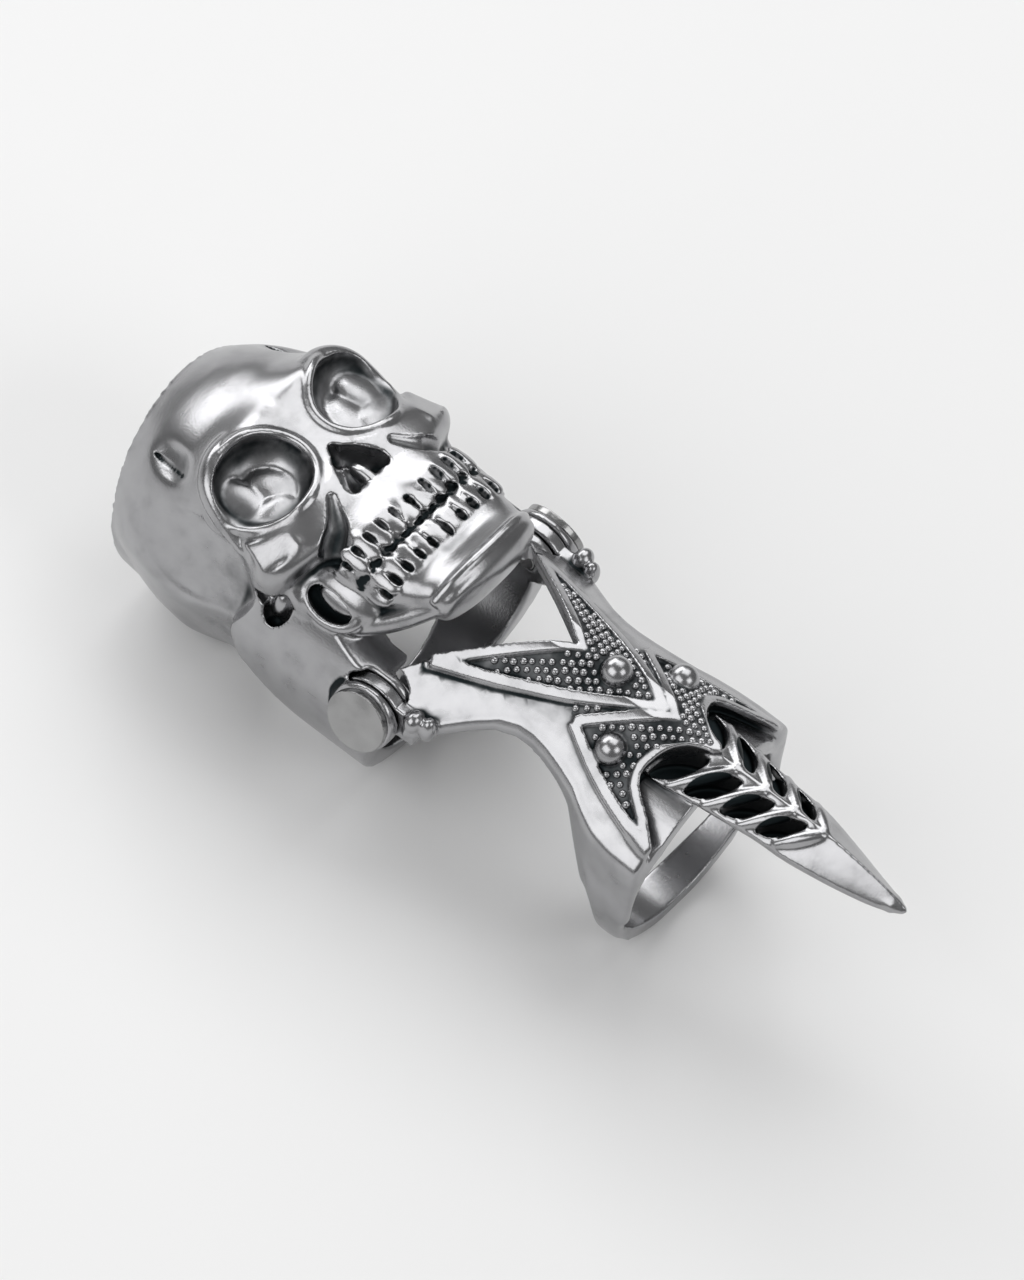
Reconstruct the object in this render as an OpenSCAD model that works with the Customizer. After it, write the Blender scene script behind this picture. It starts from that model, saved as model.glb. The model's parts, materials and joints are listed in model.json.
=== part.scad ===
// Two-band knuckle armour ring: a skull ring and a claw ring joined by a hinge.
// X runs across the finger, Y along it towards the tip, Z up from the back of the hand.
// The pieces are drawn round the hinge axis and then set down on the table plane z = 0.

/* [Fit on the finger] */
// Radius of the finger hole through the skull ring
finger_r = 9; // [8.4:0.1:9.6]
// Radius of the finger hole through the claw ring
tip_finger_r = 8.6; // [8:0.1:9]
// Height of the hinge axis above the axis of the skull ring's hole
hinge_over_finger = 3.6; // [3:0.1:4.2]
// Wall of both bands under the finger
palm_wall = 1.1; // [0.9:0.1:1.6]
// Wall of the claw ring's band at the sides
tip_wall = 1.3; // [1:0.1:1.6]

/* [Skull] */
// Length of the skull from the crown to the chin
skull_len = 34.4; // [30:0.2:38]
// Length cut flat off the crown, where the finger hole opens
crown_cut = 2.6; // [2.5:0.1:3.2]
// Width of the cranium
skull_w = 23; // [22:0.2:25]
// Height of the chin above the hinge axis
skull_rise = 12; // [11:0.2:13]
// Distance of the chin past the hinge axis
chin_reach = 3; // [1:0.2:4]
// Teeth in each half row
teeth_half = 5; // [3:1:6]
// Radius of a front tooth
tooth_r = 0.62; // [0.45:0.02:0.7]

/* [Shank of the skull ring] */
// Thickness of the shank at the hinge
shank_wall = 2.3; // [1.8:0.1:2.6]
// Width of the shank under the finger
shank_palm_w = 3.8; // [3:0.2:5]
// Length of the shank where it leaves the skull
shank_root = 13; // [11:0.2:15]

/* [Hinge] */
// Radius of the round ends of the hinge ears
ear_r = 2.9; // [2.5:0.1:3.2]
// Thickness of the claw ring's ear
claw_ear_t = 1.1; // [0.9:0.1:1.3]
// Thickness of the inner ear of the skull ring
inner_ear_t = 0.9; // [0.8:0.1:1.2]
// Thickness of the outer ear of the skull ring, at its middle
outer_ear_t = 1.3; // [1.1:0.1:1.6]
// Play on each side of the claw ring's ear
ear_play = 0.1; // [0.06:0.02:0.16]
// Radius of the rivet in the hinge
rivet_r = 0.9; // [0.7:0.05:1.1]
// Play round the rivet in the claw ring's ear
rivet_play = 0.05; // [0.03:0.01:0.08]
// Radius of the flat rivet head
head_r = 2.7; // [2.2:0.1:2.9]
// Thickness of the rivet head
head_t = 0.6; // [0.4:0.1:0.9]
// Lean of the rivet heads, which follow the round of the shank
head_lean = 14; // [0:1:18]

/* [Claw ring] */
// Height of the plate's crest above the hinge axis
crest = 8.9; // [8.4:0.1:9.4]
// Fall of the plate at a quarter of its width
plate_fall = 2.5; // [2:0.1:3]
// Thickness of the plate
plate_t = 1.6; // [1.3:0.1:2]
// Distance of the plate's near edge from the hinge axis, at its middle
window_reach = 10.8; // [9.5:0.1:12]
// Distance of the finger rim from the hinge axis
rim_reach = 25.8; // [24.5:0.1:27]
// Width of the claw ring under the finger
tip_palm_w = 3.4; // [3:0.1:4.5]
// Width of the raised borders
border_w = 0.8; // [0.6:0.05:1]
// Height of the raised borders
border_h = 0.45; // [0.3:0.05:0.6]
// Radius of the three round studs
stud_r = 1.3; // [1:0.05:1.5]

/* [Claw] */
// Distance of the claw's tip from the hinge axis
claw_reach = 44.4; // [42:0.2:48]
// Height of the claw's tip above the hinge axis
claw_tip_rise = 6.1; // [5.4:0.1:7]
// Width of the claw at its root
claw_w = 8; // [7:0.2:9]
// Pairs of leaf-shaped hollows
leaf_pairs = 4; // [2:1:4]
// Distance from one pair of leaves to the next
leaf_pitch = 3.2; // [2.9:0.05:3.4]
// Width of the first leaf
leaf_w = 1.7; // [1.2:0.1:1.9]

/* [Hidden] */
$fn = 64;

skull_half = skull_w / 2;
skull_back = chin_reach - skull_len;
stand_h = hinge_over_finger + finger_r + palm_wall;
tip_drop = stand_h - palm_wall - tip_finger_r;
crown_y = skull_back + crown_cut;
middle_y = (crown_y + claw_reach) / 2;
outer_lift = 1;
shank_r = finger_r + shank_wall + 0.3;
inner_ear_x = finger_r - 0.5;
claw_ear_x = inner_ear_x + inner_ear_t + ear_play;
outer_ear_x = claw_ear_x + claw_ear_t + ear_play;
head_x = outer_ear_x + outer_ear_t;
cut_gap = 0.3;

// Sections of the skull from crown to chin. Columns: share of the length, width as a share of
// the half width, top as a share of the rise, underside as a share of the stand height, and
// boxiness, where 1 is an ellipse and less is squarer.
SKULL_SECTIONS = [
    [0.000, 0.00, -0.08, -0.07, 1.00],
    [0.012, 0.26, 0.13, -0.35, 1.00],
    [0.045, 0.50, 0.36, -0.55, 1.00],
    [0.100, 0.71, 0.53, -0.75, 1.00],
    [0.170, 0.87, 0.68, -0.90, 1.00],
    [0.250, 0.965, 0.785, -1.00, 0.97],
    [0.335, 1.00, 0.845, -1.03, 0.90],
    [0.420, 0.97, 0.875, -1.02, 0.80],
    [0.500, 0.90, 0.885, -0.90, 0.72],
    [0.560, 0.88, 0.87, -0.50, 0.70],
    [0.620, 0.84, 0.87, -0.05, 0.72],
    [0.700, 0.76, 0.885, 0.19, 0.74],
    [0.780, 0.68, 0.90, 0.31, 0.76],
    [0.860, 0.59, 0.925, 0.43, 0.76],
    [0.930, 0.50, 0.965, 0.54, 0.72],
    [0.985, 0.43, 0.965, 0.62, 0.66],
    [1.000, 0.00, 0.86, 0.76, 0.66]
];

// Forms pressed into or raised on the skull. Columns: place across, as a share of the half width,
// place along, as a share of the length, height, as a share of the rise, reach across, along
// and up, then how far it moves the surface outwards and upwards, all as shares of the half
// width, and how steep its edge is.
SKULL_FORMS = [
    [0.49, 0.452, 0.90, 0.30, 0.25, 0.90, 0.00, -0.10, 1.5],
    [0.52, 0.330, 0.80, 0.42, 0.14, 0.50, 0.00, 0.13, 1.0],
    [0.84, 0.440, 0.70, 0.14, 0.30, 0.40, 0.04, 0.10, 1.0],
    [0.46, 0.555, 0.86, 0.34, 0.09, 0.50, 0.00, 0.06, 1.0],
    [0.00, 0.480, 0.88, 0.14, 0.30, 0.50, 0.00, -0.03, 1.0],
    [0.86, 0.585, 0.50, 0.24, 0.18, 0.30, 0.13, 0.08, 1.0],
    [0.80, 0.680, 0.50, 0.26, 0.12, 0.55, -0.24, -0.04, 1.5],
    [1.00, 0.400, 0.20, 0.40, 0.34, 0.40, -0.08, 0.00, 1.0],
    [0.30, 0.700, 0.92, 0.34, 0.14, 0.40, 0.00, 0.05, 1.0],
    [0.00, 0.765, 0.90, 0.64, 0.045, 0.70, -0.04, -0.09, 1.0],
    [0.00, 0.860, 0.95, 0.40, 0.10, 0.40, 0.00, -0.05, 1.0],
    [0.00, 0.950, 1.00, 0.40, 0.10, 0.30, 0.00, 0.06, 1.0],
    [0.72, 0.725, 0.42, 0.20, 0.15, 0.13, -0.17, 0.00, 2.0]
];

face_steps = 34;
dome_steps = 9;
round_steps = 64;

function mix(a, b, s) = a + (b - a) * s;

// Value of column c of a table at the share s, on a smooth curve through its rows
function row_at(table, s, i = 1) = (s <= table[i][0] || i == len(table) - 1) ? i : row_at(table, s, i + 1);
function smooth_value(table, s, c) =
    let (i = row_at(table, s),
         n = len(table) - 1,
         p0 = table[max(i - 2, 0)],
         p1 = table[i - 1],
         p2 = table[i],
         p3 = table[min(i + 1, n)],
         span = p2[0] - p1[0],
         f = (s - p1[0]) / span,
         m1 = i < 2 ? (p2[c] - p1[c]) / span : (p2[c] - p0[c]) / (p2[0] - p0[0]),
         m2 = i > n - 1 ? (p2[c] - p1[c]) / span : (p3[c] - p1[c]) / (p3[0] - p1[0]))
    (2 * f ^ 3 - 3 * f ^ 2 + 1) * p1[c] + (f ^ 3 - 2 * f ^ 2 + f) * span * m1
    + (3 * f ^ 2 - 2 * f ^ 3) * p2[c] + (f ^ 3 - f ^ 2) * span * m2;

function signed_power(v, e) = sign(v) * pow(abs(v), e);

// Plain section of the skull at a share of its length and an angle from the top
function skull_base(s, angle) =
    let (wide = smooth_value(SKULL_SECTIONS, s, 1) * skull_half,
         top = smooth_value(SKULL_SECTIONS, s, 2) * skull_rise,
         low_share = smooth_value(SKULL_SECTIONS, s, 3),
         low = low_share * (low_share < 0 ? stand_h : skull_rise),
         boxy = smooth_value(SKULL_SECTIONS, s, 4),
         mid = (top + low) / 2)
    [wide * signed_power(sin(angle), boxy),
     skull_back + s * skull_len,
     mid + (top - mid) * signed_power(cos(angle), boxy)];

function form_weight(p, f) =
    let (dx = (abs(p.x) - f[0] * skull_half) / (f[3] * skull_half),
         dy = (p.y - skull_back - f[1] * skull_len) / (f[4] * skull_half),
         dz = (p.z - f[2] * skull_rise) / (f[5] * skull_half))
    exp(-pow(dx ^ 2 + dy ^ 2 + dz ^ 2, f[8]));

function sum_of(list, i = 0) = i == len(list) - 1 ? list[i] : list[i] + sum_of(list, i + 1);

function skull_point(s, angle) =
    let (p = skull_base(s, angle),
         push = sum_of([for (f = SKULL_FORMS)
             let (w = form_weight(p, f)) [sign(p.x) * w * f[6], 0, w * f[7]] * skull_half]))
    [p.x + push.x, p.y, max(p.z + push.z, -stand_h)];

// Shares of the length at which the skull is cut into rings, closer together on the face
dome_share = 0.3;
SKULL_STEPS = concat(
    [for (i = [1 : dome_steps]) dome_share * (1 - cos(90 * i / dome_steps))],
    [for (i = [1 : face_steps]) mix(dome_share, 0.992, i / face_steps)]);

// Angles round a ring, closer together on the face than below
function ring_angle(i) =
    let (u = 2 * i / round_steps - 1)
    180 * (0.72 * u + 0.28 * u ^ 3);

// Closed skin through rings of equal length, with a point at each end
module skin(rings, first, last) {
    n = len(rings[0]);
    m = len(rings);
    points = concat([for (r = rings) each r], [first, last]);
    faces = concat(
        [for (j = [0 : m - 2], i = [0 : n - 1])
            let (a = j * n + i, b = j * n + (i + 1) % n)
            each [[b, a, a + n], [b + n, b, a + n]]],
        [for (i = [0 : n - 1]) [m * n, i, (i + 1) % n]],
        [for (i = [0 : n - 1]) [m * n + 1, (m - 1) * n + (i + 1) % n, (m - 1) * n + i]]);
    polyhedron(points, faces);
}

module along_x(x0, x1, r) {
    translate([x0, 0, 0]) rotate([0, 90, 0]) cylinder(h = x1 - x0, r = r);
}

module along_y(y0, y1, r) {
    translate([0, y0, 0]) rotate([-90, 0, 0]) cylinder(h = y1 - y0, r = r);
}

module side_profile(points, reach) {
    rotate([90, 0, 90]) linear_extrude(reach * 2, center = true) polygon(points);
}

module skull_form() {
    skin([for (s = SKULL_STEPS) [for (i = [0 : round_steps - 1]) skull_point(s, ring_angle(i))]],
         skull_point(0, 0), skull_point(1, 0));
}

// Smooth path through a short list of points, with the given number of steps between them
function through(p, steps) =
    concat([for (i = [0 : len(p) - 2], k = [0 : steps - 1])
        let (a = p[max(i - 1, 0)], b = p[i], c = p[i + 1], d = p[min(i + 2, len(p) - 1)], f = k / steps)
        0.5 * (2 * b + (c - a) * f + (2 * a - 5 * b + 4 * c - d) * f ^ 2
               + (3 * b - a - 3 * c + d) * f ^ 3)],
        [p[len(p) - 1]]);

// Side view of the shank, from the hinge over the root at the skull and down to the palm.
// Columns: place along as a share of the root's length, height as a share of the stand height.
SHANK_TOP = [[0.02, 0.205], [-0.18, 0.225], [-0.38, 0.29], [-0.60, 0.37], [-0.80, 0.42]];
SHANK_BACK = [[-1.04, -0.12], [-0.98, -0.25], [-0.66, -0.50], [-0.44, -0.68]];
SHANK_FRONT = [[0.02, -0.72], [0.05, -0.45], [0.07, -0.20]];

function shank_point(p) = [p[0] * shank_root, p[1] * stand_h];

module shank() {
    palm_front = -0.4;
    outline = concat(
        [for (p = through(SHANK_TOP, 3)) shank_point(p)],
        [for (p = through(concat(SHANK_BACK, [[(palm_front - shank_palm_w) / shank_root, -1]]), 4))
            shank_point(p)],
        [for (p = through(concat([[palm_front / shank_root, -1]], SHANK_FRONT), 3)) shank_point(p)]);
    intersection() {
        side_profile(outline, shank_r + 1);
        translate([0, 0, outer_lift - hinge_over_finger]) along_y(-shank_root * 1.2, ear_r, shank_r);
    }
}

// Outer face of an outer ear, which leans with the round of the shank
module lean_cut() {
    translate([head_x, 0, 0]) rotate([0, -head_lean, 0]) translate([0, -6, -9]) cube([6, 12, 18]);
}

module both_sides() {
    children();
    mirror([1, 0, 0]) children();
}

module ear_slot() {
    along_x(claw_ear_x - ear_play, claw_ear_x + claw_ear_t + ear_play, ear_r + cut_gap);
}

// Tooth lying along Y, narrower at both ends
module barrel(half, r) {
    profile = [[-1, 0.45], [-0.7, 0.9], [0, 1], [0.7, 0.9], [1, 0.45]];
    skin([for (p = profile) [for (i = [0 : 7])
            [p[1] * r * sin(45 * i), p[0] * half, p[1] * r * cos(45 * i)]]],
        [0, -half * 1.1, 0], [0, half * 1.1, 0]);
}

// Eye sockets, each two round hollows that run into each other
module sockets() {
    for (side = [-1, 1], hollow = [[0.43, 0.447, 0.29], [0.57, 0.462, 0.27]])
        translate([side * hollow[0] * skull_half, skull_back + hollow[1] * skull_len, 0.90 * skull_rise])
            sphere(hollow[2] * skull_half);
}

// Nose opening, pointed above and with two lobes below
NOSE = [[0, 0.525], [0.07, 0.562], [0.135, 0.598], [0.12, 0.618], [0.06, 0.616], [0, 0.600]];

module nose() {
    half = [for (p = NOSE) [p[0] * skull_half, skull_back + p[1] * skull_len]];
    n = len(half) - 1;
    translate([0, 0, 0.68 * skull_rise]) linear_extrude(skull_rise)
        polygon(concat(half, [for (i = [n - 1 : -1 : 1]) [-half[i].x, half[i].y]]));
}

module teeth() {
    rows = [[0.722, 0.052], [0.802, 0.046]];
    pitch = 13;
    for (r = rows, side = [-1, 1], i = [0 : teeth_half - 1]) {
        angle = side * (i + 0.5) * pitch;
        size = tooth_r * (1 - 0.05 * i);
        half = r[1] * skull_len / 2;
        translate(skull_point(r[0], angle)) barrel(half, size);
    }
}

module skull_ring() {
    color("silver") difference() {
        union() {
            difference() {
                skull_form();
                sockets();
                nose();
            }
            teeth();
            difference() {
                union() {
                    shank();
                    both_sides() along_x(inner_ear_x, head_x + 1, ear_r);
                }
                both_sides() {
                    ear_slot();
                    lean_cut();
                }
            }
        }
        translate([0, 0, -hinge_over_finger]) along_y(skull_back, ear_r + 1, finger_r);
        both_sides() along_x(inner_ear_x - 1, head_x + 1, rivet_r);
        translate([0, crown_y - 5, 0]) cube([skull_w * 2, 10, stand_h * 4], center = true);
        translate([0, 0, -stand_h - 5]) cube([skull_w * 2, skull_len * 3, 10], center = true);
    }
}

tip_half = tip_finger_r + tip_wall;

// Height of the plate's skin over the finger at a distance from its middle line
fall_half = 4.6;
fall_bend = 1.4;
function roof(x) = crest - plate_fall * pow(abs(x) / fall_half, fall_bend);

// Distance from the hinge axis: 0 to 1 runs to the window's edge, 1 to 2 from there to the rim
function along(v) = v <= 1 ? v * window_reach : mix(window_reach, rim_reach, v - 1);

// Rows of the plate from the hinge to the rim. Columns: inner edge across and along, outer edge
// across and along, depth of the outer side as a share of the plate's thickness, and how far
// the plate is filled down to the finger, from 0 to 1. Across is a share of the band's half width.
PLATE_ROWS = [
    [0.838, 0.019, 1.100, 0.315, 1.1, 0],
    [0.768, 0.083, 1.040, 0.444, 1.1, 0],
    [0.667, 0.194, 0.950, 0.565, 1.1, 0],
    [0.525, 0.370, 0.838, 0.722, 1.1, 0],
    [0.364, 0.565, 0.747, 0.870, 1.1, 0],
    [0.202, 0.760, 0.702, 1.013, 1.15, 0],
    [0.081, 0.912, 0.697, 1.100, 1.2, 0],
    [0.030, 0.981, 0.707, 1.153, 1.2, 0],
    [0.000, 1.000, 0.717, 1.200, 1.2, 0],
    [0.000, 1.180, 0.758, 1.320, 1.4, 0.1],
    [0.000, 1.380, 0.808, 1.433, 1.8, 0.6],
    [0.000, 1.547, 0.889, 1.540, 2.9, 1],
    [0.000, 1.713, 0.950, 1.647, 4.3, 1],
    [0.000, 1.847, 0.980, 1.780, 5.0, 1],
    [0.000, 1.973, 0.990, 1.987, 5.0, 1]
];
plate_columns = 7;
eave = 0.9;

function plate_row(r) =
    let (a = [r[0] * tip_half, along(r[1])],
         b = [r[2] * tip_half - eave, along(r[3])],
         edge = roof(b.x),
         low = edge - r[4] * plate_t,
         under = mix(edge - plate_t, low, r[5]),
         top = [for (k = [0 : plate_columns]) let (p = mix(a, b, k / plate_columns)) [p.x, p.y, roof(p.x)]])
    concat(top,
        [[b.x + 0.65 * eave, b.y, edge - 0.45 * eave], [b.x + eave, b.y, edge - 1.1 * eave],
         [b.x + eave, b.y, low]],
        [for (k = [plate_columns : -1 : 0])
            let (p = mix(a, b, k / plate_columns)) [p.x, p.y, mix(roof(p.x) - plate_t, low, r[5])]]);

function mean(points) = sum_of(points) / len(points);

module plate_half() {
    rows = [for (p = PLATE_ROWS) plate_row(p)];
    skin(rows, mean(rows[0]), mean(rows[len(rows) - 1]));
}

// Raised borders of the plate in plan. Each row is a corner: across as a share of the band's half
// width, along as above.
WINDOW_BORDER = [[0.687, 0.204], [0.465, 0.48], [0.23, 0.77], [0, 1.035]];
FIRST_BORDER = [[0.687, 0.204], [0.54, 0.69], [0.345, 1.147], [0.17, 1.387], [0, 1.58]];
SECOND_BORDER = [[0.465, 1.24], [0.25, 1.44], [0, 1.66]];
SIDE_BORDER = [[0.465, 1.24], [0.606, 1.44], [0.70, 1.613], [0.78, 1.813], [0.83, 1.973]];
THIRD_BORDER = [[0.83, 1.973], [0.69, 1.84], [0.56, 1.71], [0.434, 1.673], [0.27, 1.72], [0, 1.947]];

function plan(p) = [p[0] * tip_half, along(p[1])];

// Path through the corners, and back along the other side for a border that crosses the middle
function border_path(corners, crosses) =
    let (half = through([for (c = corners) plan(c)], 3), n = len(half) - 1)
    crosses ? concat(half, [for (i = [n - 1 : -1 : 0]) [-half[i].x, half[i].y]]) : half;

module border(corners, crosses = true) {
    path = border_path(corners, crosses);
    n = len(path) - 1;
    sides = [for (i = [0 : n])
        let (d = path[min(i + 1, n)] - path[max(i - 1, 0)]) [d.y, -d.x] / norm(d) * border_w / 2];
    polygon(concat([for (i = [0 : n]) path[i] + sides[i]], [for (i = [n : -1 : 0]) path[i] - sides[i]]));
}

// The borders in plan, raised over the round of the plate
module borders() {
    steps = 10;
    reach = 0.95 * tip_half;
    across = [for (k = [-steps : steps]) reach * k / steps];
    intersection() {
        rotate([90, 0, 0]) linear_extrude(rim_reach * 2, center = true)
            polygon(concat([for (x = across) [x, roof(x) + border_h]],
                           [for (k = [len(across) - 1 : -1 : 0]) [across[k], roof(across[k]) - border_h]]));
        linear_extrude(crest * 2, center = true) union() {
            for (b = [WINDOW_BORDER, FIRST_BORDER, SECOND_BORDER, THIRD_BORDER]) border(b);
            border(SIDE_BORDER, false);
            mirror([1, 0]) border(SIDE_BORDER, false);
        }
    }
}

// Side view of the band. Columns: distance from the hinge axis as a share of the rim's, height as a
// share of the stand height.
BAND_BACK = [[0.62, 0.45], [0.67, 0.27], [0.775, -0.01], [0.850, -0.36], [0.865, -0.65]];
BAND_FRONT = [[0.955, -0.70], [0.99, -0.20], [1, 0.45]];

module band() {
    palm_front = 0.945;
    outline = [for (p = concat(
            through(concat(BAND_BACK, [[palm_front - tip_palm_w / rim_reach, -1]]), 3),
            through(concat([[palm_front, -1]], BAND_FRONT), 3)))
        [p[0] * rim_reach, p[1] * stand_h]];
    intersection() {
        side_profile(outline, tip_half + 1);
        translate([0, 0, -tip_drop]) along_y(0, rim_reach + 1, tip_half);
    }
}

// The plate steps down to the band between the third border and the rim
module rim_step() {
    edge = through([for (p = THIRD_BORDER) plan(p)], 2);
    n = len(edge) - 1;
    far = plan([0.9, 2.2]);
    translate([0, 0, -1]) linear_extrude(crest + 3)
        polygon(concat(edge, [[-0.5, edge[n].y], [-0.5, far.y], far]));
}

// Sections of the claw from root to tip. Columns: share of the length, half width as a share of
// half the claw's width, then crest, side edge and underside as shares of the plate's crest.
CLAW_SECTIONS = [
    [0.00, 0.97, 0.88, 0.66, 0.56],
    [0.07, 1.04, 0.91, 0.68, 0.56],
    [0.20, 0.94, 0.93, 0.70, 0.57],
    [0.33, 0.85, 0.94, 0.71, 0.57],
    [0.45, 0.77, 0.945, 0.72, 0.57],
    [0.54, 0.74, 0.955, 0.72, 0.55],
    [0.60, 0.69, 0.955, 0.71, 0.545],
    [0.73, 0.53, 0.91, 0.68, 0.54],
    [0.86, 0.34, 0.84, 0.66, 0.55],
    [0.95, 0.19, 0.775, 0.67, 0.60],
    [0.99, 0.09, 0.73, 0.685, 0.64]
];
claw_root = 1.673;

function claw_ring_of(s) =
    let (r = [for (c = [1 : 4]) smooth_value(CLAW_SECTIONS, s, c)],
         y = mix(along(claw_root), claw_reach, s),
         w = r[0] * claw_w / 2, top = r[1] * crest, edge = r[2] * crest, low = r[3] * crest)
    [[0, y, top], [0.3 * w, y, mix(edge, top, 0.72)], [0.7 * w, y, mix(edge, top, 0.34)], [w, y, edge],
     [0.93 * w, y, mix(low, edge, 0.45)], [0.5 * w, y, mix(low, edge, 0.1)], [0, y, low],
     [-0.5 * w, y, mix(low, edge, 0.1)], [-0.93 * w, y, mix(low, edge, 0.45)],
     [-w, y, edge], [-0.7 * w, y, mix(edge, top, 0.34)], [-0.3 * w, y, mix(edge, top, 0.72)]];

module claw_form() {
    steps = 22;
    skin([for (i = [0 : steps]) claw_ring_of(0.99 * i / steps)],
        [0, along(claw_root), 0.75 * crest], [0, claw_reach, claw_tip_rise]);
}

module leaf(length, width) {
    r = (length ^ 2 + width ^ 2) / (4 * width);
    intersection_for (side = [-1, 1])
        translate([side * (r - width / 2), 0, 0]) cylinder(h = 9, r = r);
}

// Leaf-shaped hollows in pairs, narrower towards the tip, blind like those of the cast claw
leaf_floor = 0.63;

module leaves() {
    for (i = [0 : leaf_pairs - 1]) {
        length = 4.9 - 0.25 * i;
        lean = 45 - 3 * i;
        across = 2.3 - 0.28 * i;
        both_sides()
            translate([across, along(1.82) + i * leaf_pitch, leaf_floor * crest])
                rotate([0, 0, lean]) leaf(length, leaf_w - 0.16 * i);
    }
}

module studs() {
    translate([0, along(1.26), roof(0)]) sphere(stud_r, $fn = 32);
    both_sides() translate([4.5, along(1.49), roof(4.5)]) sphere(stud_r, $fn = 32);
}

module hinge_arm() {
    neck_h = 3;
    along_x(claw_ear_x, claw_ear_x + claw_ear_t, ear_r);
    translate([claw_ear_x, 0, -1]) cube([claw_ear_t, ear_r + 1.4, neck_h]);
}

module claw_ring() {
    color("gainsboro") difference() {
        union() {
            difference() {
                both_sides() plate_half();
                both_sides() {
                    rim_step();
                    along_x(tip_finger_r - 2, claw_ear_x, ear_r + cut_gap);
                    along_x(claw_ear_x + claw_ear_t, head_x + 2, ear_r + cut_gap);
                }
            }
            band();
            borders();
            both_sides() hinge_arm();
            studs();
            claw_form();
        }
        leaves();
        translate([0, 0, -tip_drop]) along_y(-ear_r * 2, rim_reach + 2, tip_finger_r);
        both_sides() along_x(claw_ear_x - 1, head_x + 1, rivet_r + rivet_play);
        translate([0, 0, -stand_h - 5]) cube([skull_w * 2, claw_reach * 2, 10], center = true);
    }
}

module hinge_rivet() {
    color("darkgray") union() {
        difference() {
            along_x(inner_ear_x, head_x + 1, rivet_r);
            lean_cut();
        }
        translate([head_x, 0, 0]) rotate([0, 90 - head_lean, 0]) cylinder(h = head_t, r = head_r);
    }
}

module on_table() {
    translate([0, -middle_y, stand_h]) children();
}

on_table() skull_ring();
on_table() claw_ring();
on_table() hinge_rivet();  // hinge_rivet_left
on_table() mirror([1, 0, 0]) hinge_rivet();  // hinge_rivet_right
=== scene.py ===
import json
import math

import bmesh
import bpy
import numpy as np
from mathutils import Matrix, Vector
from mathutils.bvhtree import BVHTree


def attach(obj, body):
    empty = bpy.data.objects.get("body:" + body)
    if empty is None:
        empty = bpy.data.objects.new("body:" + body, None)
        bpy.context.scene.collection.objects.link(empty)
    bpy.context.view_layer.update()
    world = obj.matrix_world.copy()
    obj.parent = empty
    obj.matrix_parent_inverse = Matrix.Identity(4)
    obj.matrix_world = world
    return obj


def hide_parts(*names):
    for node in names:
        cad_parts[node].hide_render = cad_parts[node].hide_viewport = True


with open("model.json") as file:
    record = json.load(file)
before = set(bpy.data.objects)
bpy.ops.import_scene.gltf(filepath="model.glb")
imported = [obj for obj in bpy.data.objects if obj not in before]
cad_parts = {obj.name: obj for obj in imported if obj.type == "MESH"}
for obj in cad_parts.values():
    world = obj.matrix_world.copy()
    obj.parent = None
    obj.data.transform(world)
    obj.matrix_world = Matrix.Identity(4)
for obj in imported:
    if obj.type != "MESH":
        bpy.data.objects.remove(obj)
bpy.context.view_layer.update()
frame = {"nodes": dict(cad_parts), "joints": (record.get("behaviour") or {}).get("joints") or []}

# Antiqued metal. Both rings are cast in zinc alloy, plated, blackened and rubbed back, so the
# hollows stay dark, the high places shine, and the skin keeps a fine casting grain.
MM = 0.001
SILVER_PLATE = (0.40, 0.40, 0.41)
# The dark colour is both the blackening in the hollows and the painted shade in the skull's eye sockets.
BLACKENING_AND_SHADE = (0.015, 0.02, 0.022)
hinge = Vector(frame["joints"][0]["pos_m"])


def from_hinge(x, y, z):
    """A place given in millimetres from the middle of the hinge"""
    return hinge + Vector((x, y, z)) * MM


def wire(tree, *links):
    """Joins outputs to inputs in a shader"""
    for source, target in links:
        tree.links.new(source, target)


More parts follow.
